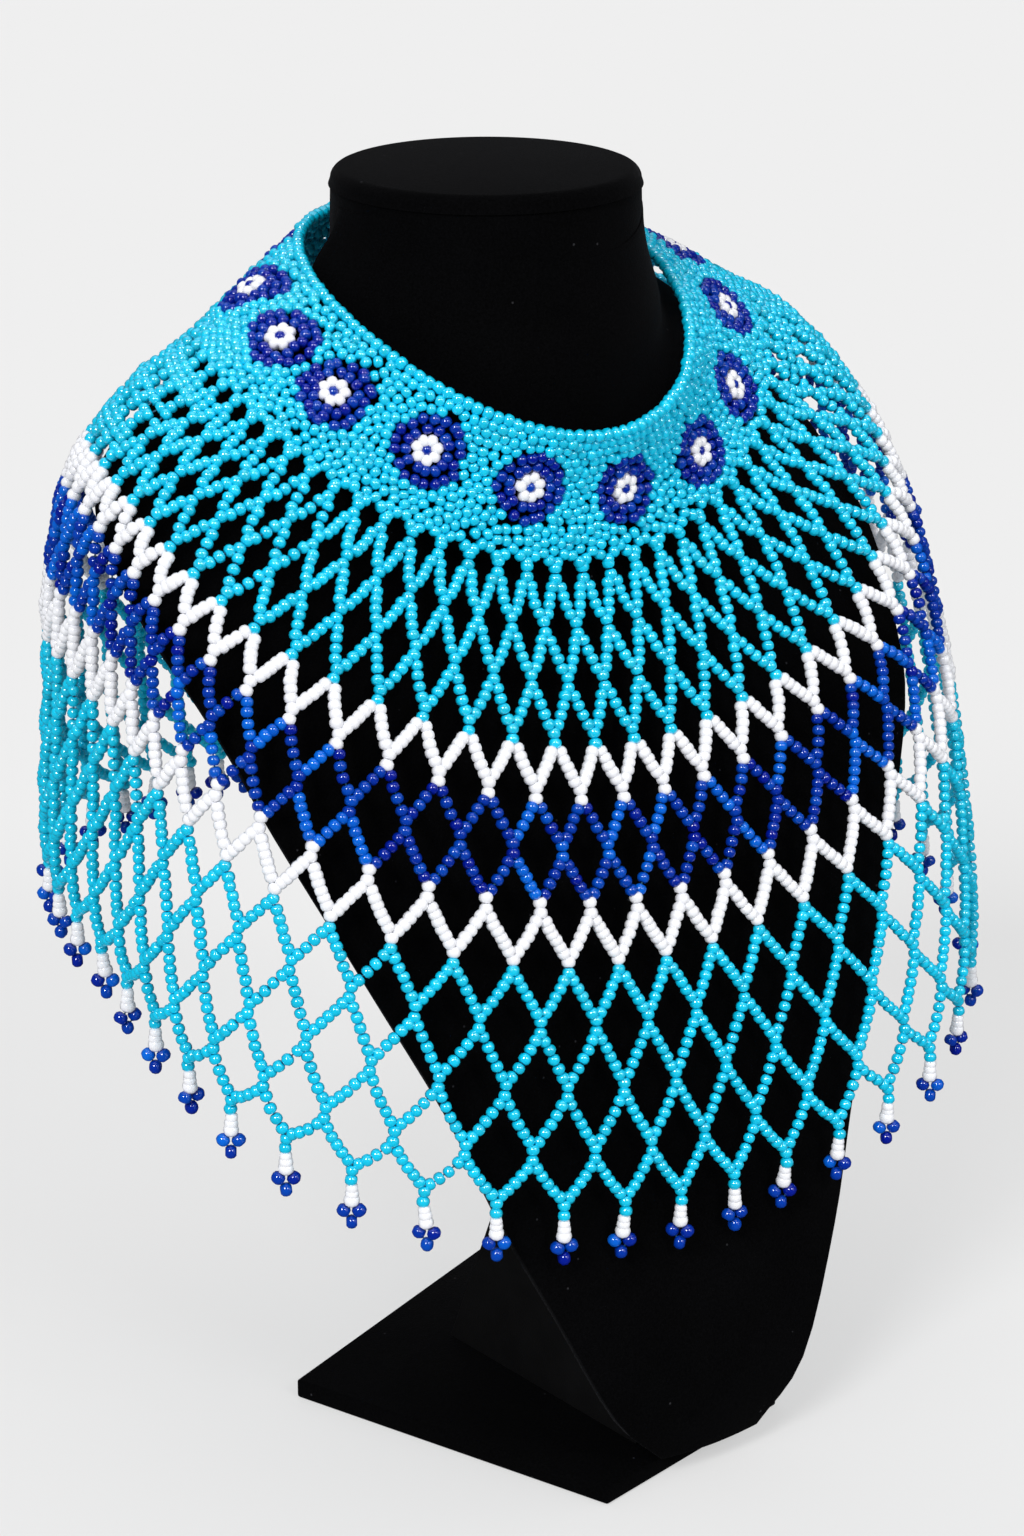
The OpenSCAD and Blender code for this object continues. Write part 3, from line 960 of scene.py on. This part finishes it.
class COLLAR_OT_zigzags(bpy.types.Operator):
    """The two white zigzags that edge the cobalt netting"""
    bl_idname = "collar.zigzags"
    bl_label = "White Zigzags"

    def execute(self, context):
        strung = Strung(16)
        add_knots(strung, 3, above=False)
        for row in (3, 6):
            add_strands(strung, row)
        for row in (4, 6):
            add_knots(strung, row)
        add_knots(strung, 7, below=False)
        obj = strung.build("zigzag_beads")
        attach(obj, "root")
        return {"FINISHED"}


class COLLAR_OT_lower_net(bpy.types.Operator):
    """Turquoise netting below the zigzags"""
    bl_idname = "collar.lower_net"
    bl_label = "Lower Net"

    def execute(self, context):
        strung = Strung(14)
        add_knots(strung, 7, above=False)
        for row in (7, 8, 9):
            if row > 7:
                add_knots(strung, row)
            add_strands(strung, row)
        add_knots(strung, 10, below=False)
        obj = strung.build("lower_net_beads")
        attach(obj, "root")
        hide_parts("lower_net")
        return {"FINISHED"}


class COLLAR_OT_drops(bpy.types.Operator):
    """Last row of netting and the drops that hang from it"""
    bl_idname = "collar.drops"
    bl_label = "Drops"

    def execute(self, context):
        strung = Strung(15)
        add_knots(strung, 10, above=False)
        add_strands(strung, 10)
        add_knots(strung, 11)
        add_drops(strung)
        obj = strung.build("drop_beads")
        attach(obj, "root")
        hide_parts("drop_fringe")
        return {"FINISHED"}


class COLLAR_OT_chest(bpy.types.Operator):
    """Velvet chest shell with softly rounded edges and a lip that laps onto the neck"""
    bl_idname = "collar.chest"
    bl_label = "Chest"

    def execute(self, context):
        deselect()
        lip, down, across = 8, 53, 49
        bpy.ops.mesh.primitive_grid_add(x_subdivisions=across - 1, y_subdivisions=lip + down - 1, size=1)
        obj = context.object
        obj.name = "chest_velvet"
        points = np.array([v.co for v in obj.data.vertices])
        step = np.rint((0.5 - points[:, 1]) * (lip + down - 1)) - lip
        side = points[:, 0] * 2
        section = np.clip(step, 0, None) * (len(SECTIONS) - 1) / (down - 1)
        shape = chest(section, side)
        turn = np.arctan2(shape[:, 0], -shape[:, 1])
        # the neck flares softly into the shoulders
        flare = FLARE * np.exp(-(section / 0.9) ** 2)
        shape[:, 0] += np.sin(turn) * flare
        shape[:, 1] -= np.cos(turn) * flare
        up = np.clip(-step / lip, 0, 1)
        height = shape[:, 2] + np.clip(NECK_TOP - LAP_BELOW_CAP - shape[:, 2], 0, LAP_HEIGHT) * up
        radius = (NECK_LOW_RADIUS + (NECK_TOP_RADIUS - NECK_LOW_RADIUS) * (height - NECK_LOW)
                  / (NECK_TOP - NECK_LOW))
        edge = np.hypot(shape[:, 0], shape[:, 1])
        radius = radius + LAP_GAP + (edge - radius - LAP_GAP) * (1 - up) ** 2
        lapped = np.stack([np.sin(turn) * radius, -np.cos(turn) * radius, height], -1)
        shape = np.where((step < 0)[:, None], lapped, shape)
        obj.data.vertices.foreach_set("co", to_frame(shape).astype(np.float32).ravel())
        obj.data.update()
        apply_modifier(obj, "SOLIDIFY", thickness=CHEST_THICK * MM, offset=-1, use_even_offset=True)
        apply_modifier(obj, "BEVEL", width=CHEST_EDGE * MM, segments=3, limit_method="ANGLE",
                       angle_limit=math.radians(50))
        settle(obj)
        smooth_shade(obj, 60)
        dress(obj, "Black velvet")
        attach(obj, "root")
        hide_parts("chest_panel")
        return {"FINISHED"}


class COLLAR_OT_board(bpy.types.Operator):
    """Velvet-wrapped board with soft edges"""
    bl_idname = "collar.board"
    bl_label = "Board"

    def execute(self, context):
        deselect()
        bpy.ops.mesh.primitive_cube_add(size=1, location=(0, 0, 0))
        obj = context.object
        obj.name = "board_velvet"
        corners = {(-1, -1): BOARD[0], (1, -1): BOARD[1], (1, 1): BOARD[2], (-1, 1): BOARD[3]}
        for v in obj.data.vertices:
            x, y = corners[(1 if v.co.x > 0 else -1, 1 if v.co.y > 0 else -1)]
            v.co = Vector(to_frame((x, y, BOARD_THICK if v.co.z > 0 else 0)))
        bpy.ops.object.mode_set(mode="EDIT")
        mesh = bmesh.from_edit_mesh(obj.data)
        for edge in mesh.edges:
            edge.select = abs(edge.verts[0].co.z - edge.verts[1].co.z) > 0.003
        bmesh.update_edit_mesh(obj.data)
        bpy.ops.mesh.bevel(offset=BOARD_CORNER * MM, segments=5, affect="EDGES")
        bpy.ops.mesh.select_all(action="SELECT")
        bpy.ops.mesh.normals_make_consistent(inside=False)
        bpy.ops.object.mode_set(mode="OBJECT")
        apply_modifier(obj, "BEVEL", width=BOARD_EDGE * MM, segments=3, limit_method="ANGLE",
                       angle_limit=math.radians(60))
        smooth_shade(obj, 35)
        dress(obj, "Black velvet")
        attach(obj, "root")
        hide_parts("base_board")
        return {"FINISHED"}


class COLLAR_OT_cap(bpy.types.Operator):
    """Padded velvet cap with a rounded rim and a pinched seam"""
    bl_idname = "collar.cap"
    bl_label = "Cap"

    def execute(self, context):
        deselect()
        low = NECK_TOP + CAP_GAP
        high = low + CAP_THICK
        bpy.ops.mesh.primitive_cylinder_add(vertices=96, radius=NECK_TOP_RADIUS * MM, depth=(high - low) * MM,
                                            location=(0, NECK_Y * MM, (low + high) / 2 * MM))
        obj = context.object
        obj.name = "cap_velvet"
        settle(obj)
        bpy.ops.object.mode_set(mode="EDIT")
        for height, offset, segments in ((high, CAP_RIM * MM, 6), (low, CAP_EDGE * MM, 2)):
            bpy.ops.mesh.select_all(action="DESELECT")
            mesh = bmesh.from_edit_mesh(obj.data)
            for edge in mesh.edges:
                edge.select = all(abs(v.co.z - height * MM) < 1e-5 for v in edge.verts)
            bmesh.update_edit_mesh(obj.data)
            bpy.ops.mesh.bevel(offset=offset, segments=segments, affect="EDGES")
        select_vertices(obj, lambda v: v.co.z < (low + CAP_SEAM) * MM
                        and Vector((v.co.x, v.co.y - NECK_Y * MM)).length > (NECK_TOP_RADIUS - 1.2) * MM)
        bpy.ops.transform.resize(value=(1.012, 1.012, 1), center_override=(0, NECK_Y * MM, 0))
        bpy.ops.object.mode_set(mode="OBJECT")
        smooth_shade(obj, 50)
        dress(obj, "Black velvet")
        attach(obj, "root")
        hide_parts("neck_cap")
        return {"FINISHED"}


class COLLAR_OT_stand(bpy.types.Operator):
    """Velvet and leatherette on the solids that keep their shape"""
    bl_idname = "collar.stand"
    bl_label = "Stand"

    def execute(self, context):
        for node, finish in (("neck", "Black velvet"), ("brace", "Black leatherette"),
                             ("back_clasp", "White glass beads")):
            dress(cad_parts[node], finish)
        return {"FINISHED"}


class COLLAR_OT_stage(bpy.types.Operator):
    """Pale floor, soft lights and the camera"""
    bl_idname = "collar.stage"
    bl_label = "Stage"

    def execute(self, context):
        settings = context.scene.collar_stage
        deselect()
        bpy.ops.mesh.primitive_plane_add(size=12, location=(0, 0, -0.0002))
        floor = context.object
        floor.name = "floor"
        material, nodes, links, shader = node_material("Pale floor")
        soft = add_group(nodes, speckle_group(), Size=3, Depth=0.0)
        tone = tuple(settings.backdrop)
        ramp = ramp_between(nodes, tuple(c * 0.99 for c in tone), tone)
        links.new(soft.outputs["Mask"], ramp.inputs["Fac"])
        rays = nodes.new("ShaderNodeLightPath")
        links.new(mix_colour(nodes, links, rays.outputs["Is Glossy Ray"], ramp.outputs["Color"], DARK_FLOOR),
                  shader.inputs["Base Color"])
        glow = nodes.new("ShaderNodeMapRange")
        set_inputs(glow, {"To Min": settings.glow, "To Max": 0})
        links.new(rays.outputs["Is Glossy Ray"], glow.inputs["Value"])
        links.new(glow.outputs["Result"], shader.inputs["Emission Strength"])
        set_inputs(shader, {"Emission Color": (1, 1, 1, 1), "Roughness": 0.9, "Specular IOR Level": 0})
        floor.data.materials.append(material)
        world = bpy.data.worlds.new("Studio")
        world.use_nodes = True
        back = world.node_tree.nodes["Background"]
        set_inputs(back, {"Color": (1, 1, 1, 1)})
        rays = world.node_tree.nodes.new("ShaderNodeLightPath")
        level = world.node_tree.nodes.new("ShaderNodeMapRange")
        set_inputs(level, {"To Min": ROOM * settings.light, "To Max": DARK_ROOM * settings.light})
        world.node_tree.links.new(rays.outputs["Is Glossy Ray"], level.inputs["Value"])
        world.node_tree.links.new(level.outputs["Result"], back.inputs["Strength"])
        context.scene.world = world
        for name, place, width, power in LAMPS:
            light = bpy.data.lights.new(name, "SUN")
            light.angle = math.radians(width)
            light.energy = power * settings.light
            lamp = bpy.data.objects.new(name, light)
            lamp.location = place
            lamp.rotation_euler = (-Vector(place)).to_track_quat("-Z", "Y").to_euler()
            context.scene.collection.objects.link(lamp)
        turn = math.radians(CAMERA_TURN)
        look = math.radians(CAMERA_HEADING)
        pitch = math.radians(CAMERA_PITCH)
        forward = Vector((-math.sin(look), math.cos(look), 0))
        right = Vector((math.cos(look), math.sin(look), 0))
        aim = forward * math.cos(pitch) - Vector((0, 0, 1)) * math.sin(pitch)
        above = forward * math.sin(pitch) + Vector((0, 0, 1)) * math.cos(pitch)
        place = Vector((math.sin(turn) * CAMERA_DISTANCE,
                        NECK_Y * MM - math.cos(turn) * CAMERA_DISTANCE, CAMERA_HEIGHT))
        data = bpy.data.cameras.new("photo")
        data.lens = CAMERA_LENS
        data.sensor_width = 36
        data.clip_start = 0.01
        camera = bpy.data.objects.new("photo", data)
        camera.matrix_world = Matrix((
            (right.x, above.x, -aim.x, place.x),
            (right.y, above.y, -aim.y, place.y),
            (right.z, above.z, -aim.z, place.z),
            (0, 0, 0, 1)))
        context.scene.collection.objects.link(camera)
        context.scene.camera = camera
        context.scene.view_settings.view_transform = "Standard"
        return {"FINISHED"}


class COLLAR_PT_panel(bpy.types.Panel):
    """Pieces of the collar necklace"""
    bl_idname = "COLLAR_PT_panel"
    bl_label = "Beaded Collar"
    bl_space_type = "VIEW_3D"
    bl_region_type = "UI"
    bl_category = "Collar"

    def draw(self, context):
        for settings in (context.scene.collar_beads, context.scene.collar_stand, context.scene.collar_stage):
            for name in settings.__annotations__:
                self.layout.prop(settings, name)
        for operator in OPERATORS:
            self.layout.operator(operator.bl_idname)


OPERATORS = (COLLAR_OT_stage, COLLAR_OT_stand, COLLAR_OT_cap, COLLAR_OT_board, COLLAR_OT_chest,
             COLLAR_OT_band, COLLAR_OT_upper_net, COLLAR_OT_middle_net, COLLAR_OT_zigzags,
             COLLAR_OT_lower_net, COLLAR_OT_drops)
CLASSES = (CollarBeadSettings, CollarStandSettings, CollarStageSettings) + OPERATORS + (COLLAR_PT_panel,)


def register():
    for cls in CLASSES:
        bpy.utils.register_class(cls)
    bpy.types.Scene.collar_beads = bpy.props.PointerProperty(type=CollarBeadSettings)
    bpy.types.Scene.collar_stand = bpy.props.PointerProperty(type=CollarStandSettings)
    bpy.types.Scene.collar_stage = bpy.props.PointerProperty(type=CollarStageSettings)


def unregister():
    del bpy.types.Scene.collar_stage
    del bpy.types.Scene.collar_stand
    del bpy.types.Scene.collar_beads
    for cls in reversed(CLASSES):
        bpy.utils.unregister_class(cls)


def main():
    register()
    bpy.ops.collar.stage()
    bpy.ops.collar.stand()
    bpy.ops.collar.cap()
    bpy.ops.collar.board()
    bpy.ops.collar.chest()
    bpy.ops.collar.band()
    bpy.ops.collar.upper_net()
    bpy.ops.collar.middle_net()
    bpy.ops.collar.zigzags()
    bpy.ops.collar.lower_net()
    bpy.ops.collar.drops()


if __name__ == "__main__":
    main()
